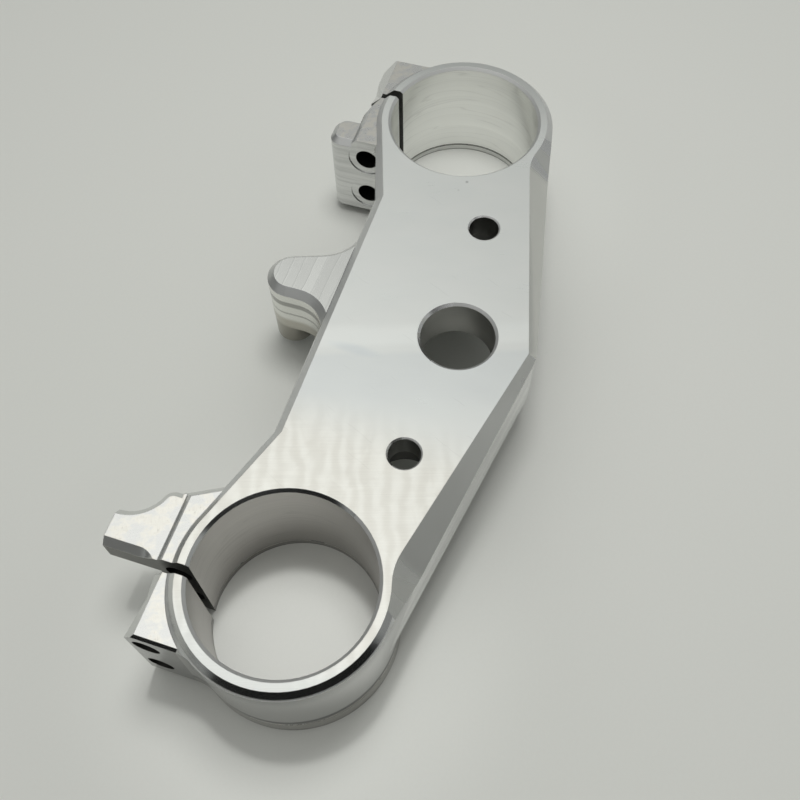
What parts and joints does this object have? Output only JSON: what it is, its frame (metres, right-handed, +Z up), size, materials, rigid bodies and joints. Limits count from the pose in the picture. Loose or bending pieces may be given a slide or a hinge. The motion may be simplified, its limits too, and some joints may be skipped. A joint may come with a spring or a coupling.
{
  "type": "motorcycle triple clamp",
  "caption": "Fork bridge milled from solid aluminium: split rings for the fork tubes joined by a thinner plate with a stem bore, riser holes, pinch-bolt ears and a front lug.",
  "frame": {"origin": "centre of the steering-stem bore, in the top face", "axes": "+Z up along the stem and fork-tube axes; X runs along the line of the fork tubes, the ring with the long tab at -X; +Y is the front, with the clamp ears and the lug"},
  "size_m": [0.25, 0.1049, 0.0415],
  "materials": {
    "billet": "bright fine-milled billet aluminium, uncoated, with visible cutter marks"
  },
  "bodies": {
    "root": {"triple_clamp": "billet"}
  },
  "joints": []
}
